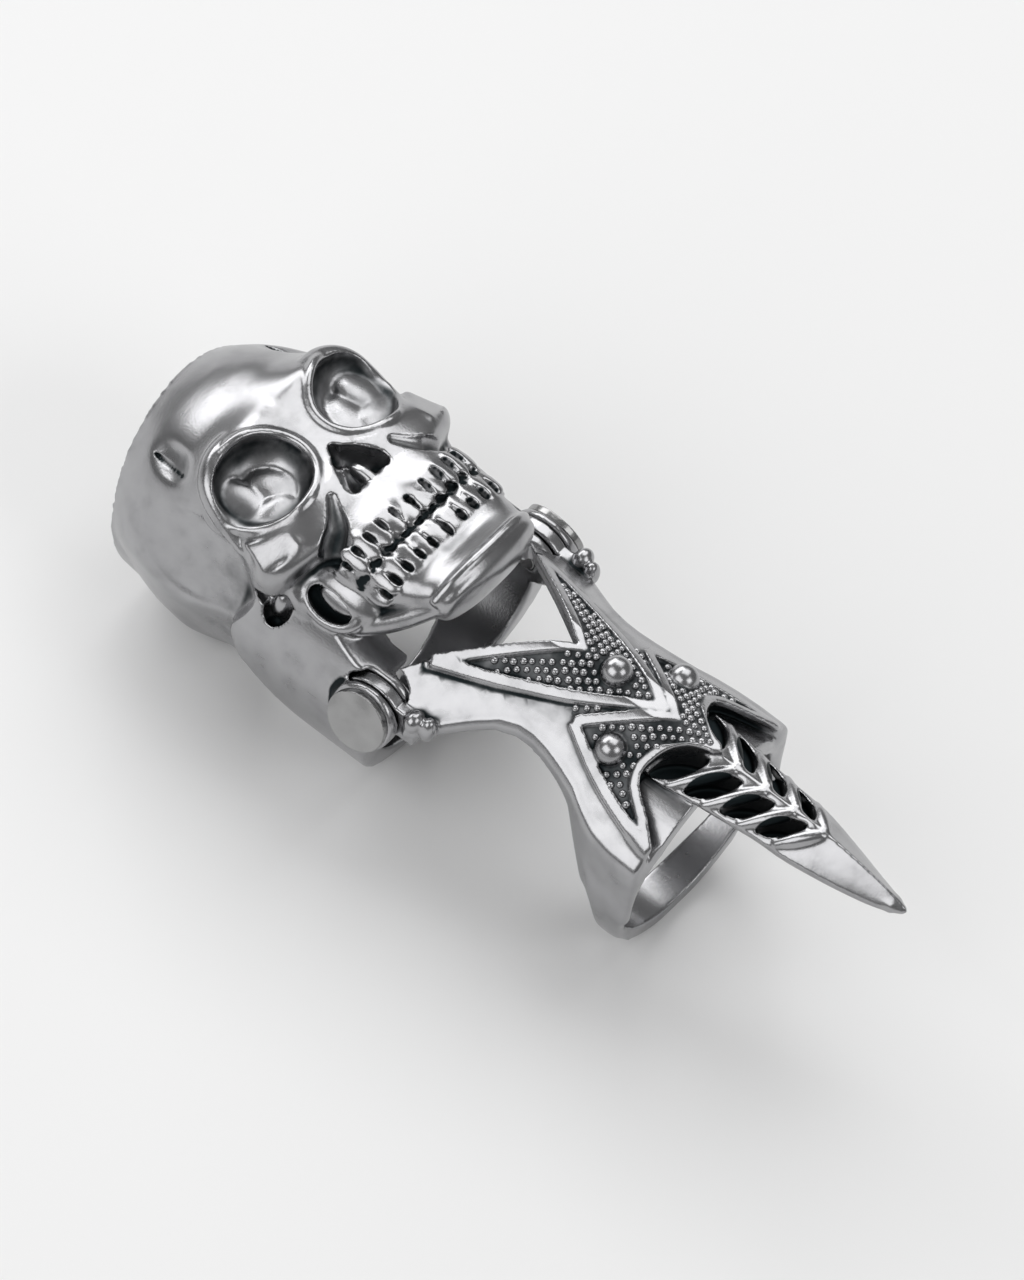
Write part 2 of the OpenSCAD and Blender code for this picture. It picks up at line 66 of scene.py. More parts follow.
def antique_finish():
    """Node group that turns the share of a hollow, with the painted shade and highlight of the skull's eye
    sockets, into colour, gloss and grain
    """
    group = bpy.data.node_groups.new("antique_finish", "ShaderNodeTree")
    face = group.interface
    for name, kind, value in (("Hollow and shade", "NodeSocketFloat", 0.0),
                              ("Bright", "NodeSocketColor", (0.6, 0.6, 0.62, 1)),
                              ("Dark", "NodeSocketColor", (0.02, 0.02, 0.022, 1)),
                              ("Grain", "NodeSocketFloat", 1.0),
                              ("Wear", "NodeSocketFloat", 0.3)):
        face.new_socket(name, in_out="INPUT", socket_type=kind).default_value = value
    for name, kind in (("Colour", "NodeSocketColor"),
                       ("Gloss", "NodeSocketFloat"),
                       ("Skin", "NodeSocketFloat")):
        face.new_socket(name, in_out="OUTPUT", socket_type=kind)
    nodes = group.nodes
    given = nodes.new("NodeGroupInput")
    out = nodes.new("NodeGroupOutput")
    place = nodes.new("ShaderNodeTexCoord")
    stain = nodes.new("ShaderNodeTexNoise")
    stain.inputs["Scale"].default_value = 420
    stain.inputs["Detail"].default_value = 6
    grain = nodes.new("ShaderNodeTexNoise")
    grain.inputs["Scale"].default_value = 5200
    grain.inputs["Detail"].default_value = 3
    edge = nodes.new("ShaderNodeMath")
    edge.operation = "MULTIPLY_ADD"
    edge.inputs[1].default_value = 0.5
    hollow = nodes.new("ShaderNodeMapRange")
    hollow.interpolation_type = "SMOOTHSTEP"
    hollow.inputs["From Min"].default_value = 0.24
    hollow.inputs["From Max"].default_value = 0.80
    mix = nodes.new("ShaderNodeMix")
    mix.data_type = "RGBA"
    cloud = nodes.new("ShaderNodeMapRange")
    cloud.inputs["From Min"].default_value = 0.35
    cloud.inputs["From Max"].default_value = 0.75
    cloud.inputs["To Min"].default_value = 1.0
    tone = nodes.new("ShaderNodeMix")
    tone.data_type = "RGBA"
    tone.blend_type = "MULTIPLY"
    tone.inputs["Factor"].default_value = 1.0
    fade = nodes.new("ShaderNodeMath")
    fade.operation = "SUBTRACT"
    fade.inputs[0].default_value = 1.0
    gloss = nodes.new("ShaderNodeMapRange")
    gloss.inputs["To Min"].default_value = 0.25
    gloss.inputs["To Max"].default_value = 0.55
    skin = nodes.new("ShaderNodeMath")
    skin.operation = "MULTIPLY"
    wire(group,
         (place.outputs["Object"], stain.inputs["Vector"]),
         (place.outputs["Object"], grain.inputs["Vector"]),
         (stain.outputs["Fac"], edge.inputs[0]),
         (given.outputs["Hollow and shade"], edge.inputs[2]),
         (edge.outputs[0], hollow.inputs["Value"]),
         (stain.outputs["Fac"], cloud.inputs["Value"]),
         (given.outputs["Wear"], fade.inputs[1]),
         (fade.outputs[0], cloud.inputs["To Max"]),
         (given.outputs["Bright"], tone.inputs[6]),
         (cloud.outputs["Result"], tone.inputs[7]),
         (hollow.outputs["Result"], mix.inputs["Factor"]),
         (tone.outputs[2], mix.inputs[6]),
         (given.outputs["Dark"], mix.inputs[7]),
         (mix.outputs[2], out.inputs["Colour"]),
         (hollow.outputs["Result"], gloss.inputs["Value"]),
         (gloss.outputs["Result"], out.inputs["Gloss"]),
         (grain.outputs["Fac"], skin.inputs[0]),
         (given.outputs["Grain"], skin.inputs[1]),
         (skin.outputs[0], out.inputs["Skin"]))
    return group


finish_group = antique_finish()


def antique_metal(name, bright, dark, grain, wear, gloss=1.0):
    """Plated and blackened metal that reads how deep a place lies, with the painted shade and highlight of
    the skull's eye sockets, from the piece's own attribute
    """
    metal = bpy.data.materials.new(name)
    metal.use_nodes = True
    tree = metal.node_tree
    shader = tree.nodes["Principled BSDF"]
    shader.inputs["Metallic"].default_value = 1.0
    depth = tree.nodes.new("ShaderNodeAttribute")
    depth.attribute_name = "hollow"
    finish = tree.nodes.new("ShaderNodeGroup")
    finish.node_tree = finish_group
    finish.inputs["Bright"].default_value = (*bright, 1)
    finish.inputs["Dark"].default_value = (*dark, 1)
    finish.inputs["Grain"].default_value = grain
    finish.inputs["Wear"].default_value = wear
    shine = tree.nodes.new("ShaderNodeMath")
    shine.operation = "MULTIPLY"
    shine.inputs[1].default_value = gloss
    bump = tree.nodes.new("ShaderNodeBump")
    bump.inputs["Strength"].default_value = 0.35
    bump.inputs["Distance"].default_value = 0.00002
    wire(tree,
         (depth.outputs["Fac"], finish.inputs["Hollow and shade"]),
         (finish.outputs["Colour"], shader.inputs["Base Color"]),
         (finish.outputs["Gloss"], shine.inputs[0]),
         (shine.outputs[0], shader.inputs["Roughness"]),
         (finish.outputs["Skin"], bump.inputs["Height"]),
         (bump.outputs["Normal"], shader.inputs["Normal"]))
    return metal


# The skull ring is one casting: the skull, the shank round the finger and the two hinge ears.
# The plain casting is worked over as a carver works the wax: forms are added and cut, then the
# skin is evened.
FINGER_RADIUS = 9.0
FINGER_HEIGHT = -3.6
MOST_FACES = 97000


def only(piece):
    """Makes one piece the only one that the next operator works on"""
    bpy.ops.object.select_all(action="DESELECT")
    piece.select_set(True)
    bpy.context.view_layer.objects.active = piece


def casting(node, name):
    """A copy of a modelled node with its points joined, to be worked over"""
    piece = frame["nodes"][node].copy()
    piece.data = piece.data.copy()
    for key in list(piece.keys()):
        del piece[key]
    piece.parent = None
    piece.name = name
    piece.data.materials.clear()
    bpy.context.collection.objects.link(piece)
    only(piece)
    bpy.ops.object.mode_set(mode="EDIT")
    bpy.ops.mesh.select_all(action="SELECT")
    bpy.ops.mesh.remove_doubles(threshold=1e-6)
    bpy.ops.object.mode_set(mode="OBJECT")
    return piece


def worked(piece, kind, **settings):
    """Adds a modifier with its settings and applies it"""
    only(piece)
    step = piece.modifiers.new(kind.lower(), kind)
    for key, value in settings.items():
        setattr(step, key, value)
    bpy.ops.object.modifier_apply(modifier=step.name)
    return piece


def joined(piece, others):
    """Runs several closed shapes into one object"""
    only(piece)
    for other in others:
        other.select_set(True)
    bpy.ops.object.join()
    return piece


def settle(piece):
    """Puts a new shape's place, turn and size into its mesh"""
    only(piece)
    bpy.ops.object.transform_apply(location=True, rotation=True, scale=True)
    return piece


def towards(normal, along=(0, 1, 0)):
    """A turn that points Z along the normal and Y as near as it can along the other direction"""
    z = Vector(normal).normalized()
    x = Vector(along).cross(z).normalized()
    return Matrix((x, z.cross(x), z)).transposed().to_euler()


def pebble(centre, radii, turn=(0, 0, 0)):
    """An ellipsoid, in millimetres from the hinge"""
    bpy.ops.object.select_all(action="DESELECT")
    bpy.ops.mesh.primitive_uv_sphere_add(segments=24, ring_count=16, radius=MM,
                                         location=from_hinge(*centre), rotation=turn)
    stone = bpy.context.object
    stone.scale = radii
    return settle(stone)


def ring_bead(centre, radii, thick, turn):
    """An oval ring of round wire, in millimetres from the hinge"""
    bpy.ops.object.select_all(action="DESELECT")
    bpy.ops.mesh.primitive_torus_add(major_segments=64, minor_segments=12, major_radius=radii[0] * MM,
                                     minor_radius=thick * MM, location=from_hinge(*centre), rotation=turn)
    bead = bpy.context.object
    bead.scale = (1, radii[1] / radii[0], 1)
    return settle(bead)


def wire_along(places, thick):
    """A round wire through places given in millimetres from the hinge, with a radius at each"""
    curve = bpy.data.curves.new("wire", "CURVE")
    curve.dimensions = "3D"
    curve.bevel_depth = MM
    curve.bevel_resolution = 3
    curve.use_fill_caps = True
    curve.resolution_u = 8
    path = curve.splines.new("NURBS")
    path.points.add(len(places) - 1)
    for point, place, radius in zip(path.points, places, thick):
        point.co = (*from_hinge(*place), 1)
        point.radius = radius
    path.order_u = 3
    path.use_endpoint_u = True
    strand = bpy.data.objects.new("wire", curve)
    bpy.context.collection.objects.link(strand)
    only(strand)
    bpy.ops.object.convert(target="MESH")
    return bpy.context.object


def facet(places, sink):
    """A flat-faced stone between places and their copies sunk under the skin"""
    stone = bmesh.new()
    for place in places:
        stone.verts.new(from_hinge(*place))
        stone.verts.new(from_hinge(*(Vector(place) + Vector(sink))))
    bmesh.ops.convex_hull(stone, input=stone.verts)
    bmesh.ops.recalc_face_normals(stone, faces=stone.faces)
    mesh = bpy.data.meshes.new("facet")
    stone.to_mesh(mesh)
    stone.free()
    piece = bpy.data.objects.new("facet", mesh)
    bpy.context.collection.objects.link(piece)
    return piece


def corners(piece):
    """A piece's points, in millimetres from the hinge"""
    spots = np.empty(len(piece.data.vertices) * 3)
    piece.data.vertices.foreach_get("co", spots)
    return (spots.reshape(-1, 3) - np.array(hinge)) / MM


def put_corners(piece, spots):
    """Moves a piece's points to places in millimetres from the hinge"""
    piece.data.vertices.foreach_set("co", (spots * MM + np.array(hinge)).ravel())
    piece.data.update()


def normals_of(piece):
    """The way that the skin faces at each point of a piece"""
    normals = np.empty(len(piece.data.vertices) * 3)
    piece.data.vertices.foreach_get("normal", normals)
    return normals.reshape(-1, 3)


def mark(piece, name, shares):
    """Keeps a weight for each point of a piece"""
    group = piece.vertex_groups.new(name=name)
    steps = np.round(np.clip(shares, 0, 1) * 10).astype(int)
    for step in range(1, 11):
        group.add(np.nonzero(steps == step)[0].tolist(), step / 10, "REPLACE")


def rise(values, low, high):
    """0 below low and 1 above high, with a smooth step between"""
    share = np.clip((values - low) / (high - low), 0, 1)
    return share * share * (3 - 2 * share)


def hollows_of(piece):
    """How deep each point lies, from 0 to 1, as it is stored"""
    hollows = np.empty(len(piece.data.vertices))
    piece.data.attributes["hollow"].data.foreach_get("value", hollows)
    return hollows


def keep_hollows(piece, hollows):
    """Stores how deep each point lies, with the painted shade and highlight of the skull's eye sockets where
    they are put in, for the metal to read
    """
    attributes = piece.data.attributes
    store = attributes.get("hollow") or attributes.new("hollow", "FLOAT", "POINT")
    store.data.foreach_set("value", hollows.astype(np.float32))


def mark_hollows(piece, reach, depth):
    """Stores how far each point lies below its surroundings, which widen by turns in the reach"""
    mesh = piece.data
    count = len(mesh.vertices)
    ends = np.empty(len(mesh.edges) * 2, int)
    mesh.edges.foreach_get("vertices", ends)
    ends = ends.reshape(-1, 2)
    both = np.concatenate((ends, ends[:, ::-1]))
    near = np.bincount(both[:, 0], minlength=count).clip(1)
    start = corners(piece)
    spots = start.copy()
    normals = normals_of(piece)
    total = np.zeros(count)
    done = 0
    for turns, share in reach:
        for turn in range(turns - done):
            sums = [np.bincount(both[:, 0], spots[both[:, 1], axis], count) for axis in range(3)]
            spots = np.stack(sums, 1) / near[:, None]
        done = turns
        total += share * ((spots - start) * normals).sum(1)
    keep_hollows(piece, np.clip(total / depth, 0, 1))


def dress(piece, metal):
    """Evens the shading of a finished piece and gives it its one metal"""
    only(piece)
    bpy.ops.object.shade_smooth()
    piece.data.materials.clear()
    piece.data.materials.append(metal)


def skin_of(piece):
    """The piece's surface, for finding places on it"""
    return BVHTree.FromObject(piece, bpy.context.evaluated_depsgraph_get())


def on_skin(skin, outside, inside):
    """Where a line from a place outside to a place inside first meets the skin, in millimetres"""
    start = from_hinge(*outside)
    way = (from_hinge(*inside) - start).normalized()
    spot = skin.ray_cast(start, way)[0]
    return (spot - hinge) / MM


def oval_on(skin, centre, normal, along, radii, count=32):
    """Places on the skin along an oval that is looked at along a normal"""
    turn = towards(normal, along).to_matrix()
    out = Vector(normal).normalized()
    spots = []
    for step in range(count):
        angle = 2 * math.pi * step / count
        rim = Vector(centre) + turn @ Vector((radii[0] * math.cos(angle), radii[1] * math.sin(angle), 0))
        spots.append(on_skin(skin, rim + out * 6, rim - out * 6))
    return spots


def press(piece, centre, radii, push, edge=1.0):
    """Moves the skin near a place by a push, with a soft edge"""
    spots = corners(piece)
    far = (((spots - np.array(centre)) / np.array(radii)) ** 2).sum(1)
    spots += np.exp(-far ** edge)[:, None] * np.array(push)
    put_corners(piece, spots)


def keep_wall(piece, least):
    """Leaves metal round the finger hole, out to a least distance from its middle that is
    smaller at the crown"""
    spots = corners(piece)
    normals = normals_of(piece)
    way = spots[:, [0, 2]] - (0, FINGER_HEIGHT)
    far = np.hypot(way[:, 0], way[:, 1])
    outward = (normals[:, 0] * way[:, 0] + normals[:, 2] * way[:, 1]) / far
    least = least - 0.4 * rise(-spots[:, 1], 22.0, 27.5)
    thin = (outward > 0.2) & (far < least) & (spots[:, 1] < -6)
    spots[np.ix_(thin, [0, 2])] = way[thin] * (least[thin] / far[thin])[:, None] + (0, FINGER_HEIGHT)
    put_corners(piece, spots)


skull = casting("skull_ring", "skull_ring_cast")
worked(skull, "REMESH", mode="VOXEL", voxel_size=0.22 * MM)
spots = corners(skull)
off_finger = np.hypot(spots[:, 0], spots[:, 2] - FINGER_HEIGHT)
open_form = rise(spots[:, 1], -12, -13) + rise(spots[:, 2], 4.0, 5.2)
mark(skull, "open form", open_form * rise(off_finger, FINGER_RADIUS + 0.2, FINGER_RADIUS + 0.8))
worked(skull, "SMOOTH", factor=0.6, iterations=45, vertex_group="open form")
mouth = rise(spots[:, 1], -9.6, -8.6) * (1 - rise(spots[:, 1], -1.6, -0.6)) * rise(spots[:, 2], 4.4, 5.6)
mark(skull, "mouth", mouth)
worked(skull, "SMOOTH", factor=0.6, iterations=70, vertex_group="mouth")
plain_skin = skin_of(skull)

# What the carver adds before the cuts, what is cut away, what is laid into the cuts, and the
# places that are blackened by hand with the radius of each
grown = []
cutters = []
lumps = []
stains = []

EYE = (5.7, -16.4, 9.6)
EYE_LEAN = (0.40, 0.92)
FACET_MIDDLE = (9.3, -12.4, 8.6)
CLEFT = (9.6, -10.4, 2.8)
JAW_HEIGHT = 2.0
TOOTH_GAPS = [math.radians(angle) for angle in (0, 11.5, 20.5, 29, 37, 45, 52.5)]


def mirrored(places, side):
    """Places given for the right half, taken to the side that is being carved"""
    return [(x * side, y, z) for x, y, z in places]


def off_place(spots, place):
    """How far points lie from a place that each half of the skull has"""
    return np.hypot(np.hypot(np.abs(spots[:, 0]) - place[0], spots[:, 1] - place[1]), spots[:, 2] - place[2])


def off_socket(spots):
    """How far points lie from an eye's middle, as a share of the way to its rim"""
    across = np.abs(spots[:, 0]) - EYE[0]
    down = spots[:, 1] - EYE[1]
    aside, along = EYE_LEAN
    return np.hypot((along * across - aside * down) / 4.0, (aside * across + along * down) / 3.5)


def carve_eye(side):
    """One eye socket: a raised rim, a bowl, and three soft lumps on the floor of the bowl"""
    middle = (EYE[0] * side, EYE[1], EYE[2])
    way = (0.30 * side, 0.10, 0.95)
    lean = (EYE_LEAN[0] * side, EYE_LEAN[1], 0)
    oval = oval_on(plain_skin, middle, way, lean, (4.35, 3.85))
    rim = [spot + Vector(way) * 0.05 for spot in oval + oval[:2]]
    grown.append(wire_along(rim, [0.42] * len(rim)))
    cutters.append(pebble(middle, (4.05, 3.5, 2.6), towards(way, lean)))
    lumps.append(pebble((4.0 * side, -15.6, 7.35), (2.1, 3.0, 0.9), (0, 0, math.radians(25 * side))))
    lumps.append(pebble((7.8 * side, -17.2, 6.75), (2.3, 2.8, 1.0), (0, math.radians(25 * side), 0)))
    lumps.append(pebble((7.0 * side, -14.2, 7.15), (2.9, 1.8, 1.0), (0, math.radians(15 * side), 0)))


def carve_brow(side):
    """The fold of bone over one eye, thickest above its outer half"""
    brow = ((0.6, -17.8, 9.4), (3.0, -20.0, 9.5), (6.0, -20.7, 9.1),
            (8.4, -19.5, 8.2), (9.3, -16.8, 6.7), (9.5, -14.4, 5.6))
    grown.append(wire_along(mirrored(brow, side), [0.7, 1.0, 1.1, 1.15, 0.8, 0.6]))


def carve_cheek(side):
    """One cheek bone: a ridge, and a flat facet with the metal in front of it cut away"""
    ridge = ((3.2, -12.9, 8.9), (5.6, -12.0, 8.8), (7.4, -11.2, 8.2), (8.8, -10.6, 6.9), (9.4, -11.0, 5.6))
    grown.append(wire_along(mirrored(ridge, side), [0.6, 0.9, 0.9, 0.8, 0.6]))
    flat = mirrored(((10.1, -14.6, 7.2), (9.3, -13.4, 8.07), (8.06, -12.0, 9.35),
                     (8.2, -10.4, 9.5), (11.0, -11.9, 6.9)), side)
    grown.append(facet(flat, (-1.5 * side, 0.3, -1.4)))
    middle = sum((Vector(place) for place in flat), Vector()) / len(flat)
    wider = [middle + 1.25 * (Vector(place) - middle) for place in flat]
    cutters.append(facet(wider, (0.9 * side, 0, 0.9)))


def raise_nose(side):
    """One side of the nose bone, and half of the thin wall in the nose opening"""
    lumps.append(pebble((0.15 * side, -10.7, 9.55), (0.45, 1.6, 0.9)))
    ridge = ((0.9, -16.4, 9.8), (2.6, -13.8, 9.8), (3.3, -11.6, 9.6), (3.6, -9.2, 9.3), (3.9, -7.6, 9.0))
    grown.append(wire_along(mirrored(ridge, side), [0.4, 0.5, 0.55, 0.5, 0.4]))


def carve_jaw(side):
    """The edge and corner of the jaw, the swelling below the cleft, and the oval opening with a
    rim round it and a disc on its floor"""
    edge = ((9.0, -10.4, 5.6), (9.1, -8.7, 3.6), (8.6, -6.3, 3.3),
            (7.9, -3.7, 4.6), (6.5, -0.8, 7.1), (4.9, 1.0, 9.3))
    grown.append(wire_along(mirrored(edge, side), [0.9, 1.0, 0.9, 0.9, 0.9, 0.8]))
    grown.append(pebble((7.4 * side, -6.0, 6.0), (1.5, 3.4, 2.0), (0, math.radians(-24 * side), 0)))
    grown.append(pebble((8.9 * side, -12.0, -2.6), (1.9, 2.2, 4.2)))
    opening = (8.6 * side, -6.5, 5.6)
    facing = towards((0.80 * side, 0.0, 0.60))
    grown.append(ring_bead(opening, (1.55, 2.4), 0.42, facing))
    cutters.append(pebble(opening, (1.3, 2.15, 1.2), facing))
    lumps.append(pebble((8.0 * side, -6.25, 5.55), (0.9, 1.8, 0.3), facing))


def open_nose(side):
    """One side of the nose opening: two slanted hollows that run together"""
    for x, y, spread in ((0.95, -12.1, 2.15), (1.5, -11.1, 1.2)):
        cutters.append(pebble((x * side, y, 10.2), (0.8, spread, 1.9), (0, 0, math.radians(-28 * side))))


def hollow_cheek(side):
    """The groove under the cheek bone, and the cleft behind it with a bead of metal inside"""
    groove = ((3.6, -11.4, 10.6), (5.2, -9.3, 10.4), (6.6, -8.6, 9.5), (7.7, -8.0, 8.1))
    cutters.append(wire_along(mirrored(groove, side), [0.35, 0.9, 1.1, 0.9]))
    cutters.append(pebble((9.9 * side, -10.2, 2.5), (1.1, 1.2, 2.3)))
    cutters.append(pebble((9.8 * side, -11.4, 3.6), (1.2, 1.1, 1.3)))
    lumps.append(pebble((9.3 * side, -10.3, 2.3), (0.8, 0.8, 1.6)))


def crease_temple(side):
    """The thin crease at one temple, black along its floor"""
    line = ((6.7, -26.2, 4.8), (7.2, -24.9, 5.4), (7.6, -23.6, 5.9), (8.1, -21.9, 6.6))
    crease = [on_skin(plain_skin, (x * 1.6 * side, y, z * 1.6), (0, y, 0)) for x, y, z in line]
    cutters.append(wire_along([spot - Vector((0.2 * side, 0, 0.2)) for spot in crease],
                              [0.10, 0.26, 0.28, 0.12]))
    for start, end in zip(crease, crease[1:]):
        for step in range(5):
            stains.append((*(start.lerp(end, step / 5) - Vector((0.2 * side, 0, 0.25))), 0.02))


def jaw_place(angle, y):
    """A place on the jaw at an angle from its middle, and the way that the jaw faces there"""
    out = Vector((math.sin(angle), 0, math.cos(angle)))
    middle = Vector((0, y, JAW_HEIGHT))
    return on_skin(plain_skin, middle + out * 16, middle), out


def bite(angle):
    """How far along the ring the two tooth rows meet, at an angle from the middle of the jaw"""
    return -4.75 - 0.5 * (angle / math.radians(69)) ** 2


def carve_teeth(side):
    """Half of both tooth rows, with a fine slit between two teeth and a black one at each root.
    The slits in the middle are cut only once."""
    for row, length, root in ((-1.45, 1.55, -1.75), (1.45, 1.40, 2.05)):
        for first, last in zip(TOOTH_GAPS, TOOTH_GAPS[1:]):
            angle = side * (first + last) / 2
            spot, out = jaw_place(angle, bite(angle) + row)
            grown.append(pebble(spot - out * 0.21, (5.6 * (last - first), length, 0.34), towards(out)))
        for gap in TOOTH_GAPS[0 if side > 0 else 1:6]:
            angle = side * gap
            spot, out = jaw_place(angle, bite(angle) + root * 0.65)
            cutters.append(pebble(spot + out * 0.2, (0.15, 0.60, 0.60), towards(out)))
            spot, out = jaw_place(angle, bite(angle) + root)
            slit = 0.62 + 0.16 * math.sin(9 * gap + root)
            cutters.append(pebble(spot + out * 0.2, (0.30, slit, 0.85), towards(out)))
            for step in (-0.3, 0, 0.3):
                stains.append((*jaw_place(angle, bite(angle) + root + step)[0], 0.12))


for side in (-1, 1):
    carve_eye(side)
    carve_brow(side)
    carve_cheek(side)
    raise_nose(side)
    carve_jaw(side)
    open_nose(side)
    hollow_cheek(side)
    crease_temple(side)
    carve_teeth(side)
cutters.append(pebble((0, -13.4, 10.2), (0.6, 1.1, 1.9)))
bites = [jaw_place(math.radians(angle), bite(math.radians(angle)) + 0.22 * math.sin(angle * 1.3))
         for angle in range(-50, 51, 2)]
cutters.append(wire_along([spot + out * 0.2 for spot, out in bites],
                          [0.18 + 0.10 * math.sin(place * 1.2) for place in range(len(bites))]))
stains += [(*spot, 0.10 + 0.08 * math.sin(place * 1.2)) for place, (spot, out) in enumerate(bites)]
chin = [jaw_place(math.radians(angle), 1.2 - 0.0004 * angle ** 2)[0] for angle in range(-36, 37, 9)]
grown.append(wire_along(chin, [0.45] * len(chin)))

joined(skull, grown)
worked(skull, "REMESH", mode="VOXEL", voxel_size=0.14 * MM)
worked(skull, "SMOOTH", factor=0.5, iterations=2)
for side in (-1, 1):
    press(skull, (10.4 * side, -17.6, 1.8), (3.0, 5.4, 4.2), (-0.45 * side, 0, 0), 6)
    press(skull, (7.3 * side, -23.8, 6.2), (1.3, 2.6, 1.2), (-0.25 * side, 0.2, -0.25), 2)
    press(skull, (10.5 * side, -22.0, -8.0), (4.0, 4.5, 5.0), (-0.6 * side, 0, 0.25), 2)
    press(skull, (10.0 * side, -15.8, -8.8), (4.0, 3.4, 5.0), (-1.0 * side, 0, 0.5), 2)
keep_wall(skull, FINGER_RADIUS + 0.75)
worked(skull, "SMOOTH", factor=0.5, iterations=2)
bpy.ops.mesh.primitive_cylinder_add(vertices=128, radius=FINGER_RADIUS * MM, depth=50 * MM,
                                    location=from_hinge(0, -15, FINGER_HEIGHT), rotation=(math.pi / 2, 0, 0))
finger = settle(bpy.context.object)
worked(skull, "BOOLEAN", operation="DIFFERENCE", solver="MANIFOLD", object=finger)
bpy.data.objects.remove(finger)
tool = joined(cutters[0], cutters[1:])
worked(tool, "REMESH", mode="VOXEL", voxel_size=0.1 * MM)
worked(skull, "BOOLEAN", operation="DIFFERENCE", solver="MANIFOLD", object=tool)
bpy.data.objects.remove(tool)
joined(skull, lumps)
worked(skull, "REMESH", mode="VOXEL", voxel_size=0.13 * MM)
worked(skull, "SMOOTH", factor=0.5, iterations=3)

spots = corners(skull)
socket_shares = (1 - rise(off_socket(spots), 0.90, 1.0)) * rise(spots[:, 2], 4.5, 5.5)
cleft_shares = 0.4 * (1 - rise(off_place(spots, CLEFT), 2.4, 3.2))
mark(skull, "sockets", socket_shares + cleft_shares + 1 - rise(off_place(spots, FACET_MIDDLE), 2.6, 3.4))
worked(skull, "SMOOTH", factor=0.6, iterations=30, vertex_group="sockets")
worked(skull, "DECIMATE", ratio=min(1, MOST_FACES / len(skull.data.polygons)))

mark_hollows(skull, ((8, 0.7), (60, 0.5), (250, 0.35)), 0.6)
spots = corners(skull)
hollows = hollows_of(skull)
side_places = np.abs(spots[:, 0])
for x, y, z, size in stains:
    far = np.linalg.norm(spots - (x, y, z), axis=1)
    hollows = np.maximum(hollows, 1 - rise(far, size, size + 0.3))
# Painted shade and painted highlight in the eye sockets: in place of their depth, each bowl is made darker
# towards its rim, which shades it, and lighter on the high tops of the lumps, where the light falls.
off_eye = off_socket(spots)
socket_shade_mask = (1 - rise(off_eye, 0.92, 1.0)) * rise(spots[:, 2], 4.5, 5.5)
socket_shade_and_highlight = 0.30 + 0.30 * rise(off_eye, 0.65, 0.9) - 0.22 * rise(spots[:, 2], 7.3, 8.2)
hollows += socket_shade_mask * (socket_shade_and_highlight - hollows)
temple = rise(side_places, 8.6, 9.2) * rise(-spots[:, 1], 13.2, 13.8)
hollows *= 1 - 0.7 * temple
from_disc = np.stack((side_places, spots[:, 1], spots[:, 2]), 1) - (8.1, -6.25, 5.7)
off_disc = np.linalg.norm(from_disc / (1, 1.7, 1), axis=1)
hollows *= 1 - 0.7 * (1 - rise(off_disc, 0.7, 0.95))
hollows *= 1 - 0.7 * (1 - rise(off_place(spots, CLEFT), 2.0, 2.6))
beside_nose = rise(spots[:, 1], -15.2, -14.6) * (1 - rise(spots[:, 1], -9.8, -9.2))
hollows *= 1 - 0.35 * (1 - rise(side_places, 2.6, 3.2)) * beside_nose
keep_hollows(skull, hollows)
dress(skull, antique_metal("skull_silver", SILVER_PLATE, BLACKENING_AND_SHADE, 1.2, 0.16))
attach(skull, "skull_body")
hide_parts("skull_ring")

# The claw ring is one casting too: hinge ears, arched plate with raised borders, finger band and
# the claw with its leaf-shaped hollows. The ground between the borders is granulated and left
# black, and the ribs between the leaves are raised and polished.
WINDOW_EDGE = ((6.8, 2.2), (4.6, 5.2), (2.3, 8.3), (0, 11.3))
FIRST_V = ((6.8, 2.2), (5.35, 7.45), (3.4, 13.0), (1.7, 16.6), (0, 19.5))
SECOND_V = ((4.6, 14.4), (2.5, 17.4), (0, 20.7))
SIDE_EDGE = ((4.6, 14.4), (6.0, 17.4), (6.9, 20.0), (7.7, 23.0), (8.2, 25.4))
THIRD_EDGE = ((8.2, 25.4), (6.8, 23.4), (5.5, 21.45), (4.3, 20.9), (2.7, 21.6), (0, 25.0))
BORDERS = (WINDOW_EDGE, FIRST_V, SECOND_V, SIDE_EDGE, THIRD_EDGE)
FIELDS = (WINDOW_EDGE + FIRST_V[::-1], ((3.4, 13.0),) + SECOND_V + FIRST_V[:2:-1],
          SIDE_EDGE + THIRD_EDGE[1:] + SECOND_V[:0:-1])


def within(x, y, outline):
    """True for the places in plan that an outline goes round"""
    inside = np.zeros(len(x), bool)
    for (ax, ay), (bx, by) in zip(outline, outline[1:] + outline[:1]):
        crossed = (ay > y) != (by > y)
        inside ^= crossed & (x < ax + (bx - ax) * (y - ay) / (by - ay + 1e-9))
    return inside


def off_line(x, y, lines):
    """How far places in plan lie from the nearest of some lines"""
    nearest = np.full(len(x), 99.0)
    for line in lines:
        for (ax, ay), (bx, by) in zip(line, line[1:]):
            along = (x - ax) * (bx - ax) + (y - ay) * (by - ay)
            run = np.clip(along / ((bx - ax) ** 2 + (by - ay) ** 2), 0, 1)
            nearest = np.minimum(nearest, np.hypot(x - ax - run * (bx - ax), y - ay - run * (by - ay)))
    return nearest


def in_fields(x, y):
    """True for the places in plan that lie in a granulated field"""
    return np.any([within(np.abs(x), y, field) for field in FIELDS], axis=0)


claw = casting("claw_ring", "claw_ring_cast")
claw_skin = skin_of(claw)


def on_plate(x, y):
    """The top of the claw ring above a place in plan"""
    return on_skin(claw_skin, (x, y, 20), (x, y, 0))


